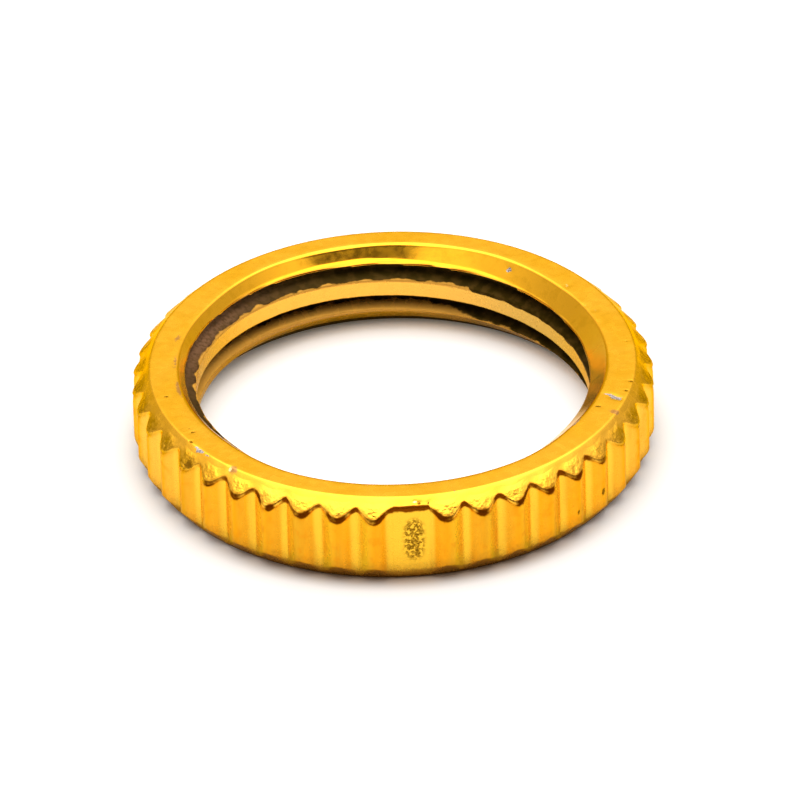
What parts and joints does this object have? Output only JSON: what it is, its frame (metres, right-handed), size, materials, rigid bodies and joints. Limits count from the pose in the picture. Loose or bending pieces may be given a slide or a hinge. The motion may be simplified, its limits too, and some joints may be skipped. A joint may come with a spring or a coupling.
{
  "type": "knurled ring nut",
  "caption": "Thin one-piece ring nut with a straight knurled edge, a fine internal thread and chamfered faces; screws onto a threaded bushing by hand.",
  "frame": {"origin": "centre of the bottom face, on the thread axis", "axes": "+Z along the thread axis towards the wider chamfered face; -Y through the place of the missing knurl ridge"},
  "size_m": [0.0148, 0.0147, 0.0026],
  "materials": {
    "gold_plated_brass": "worn gold plating over brass, satin turned faces"
  },
  "bodies": {
    "root": {"knurled_ring": "gold_plated_brass"}
  },
  "joints": []
}
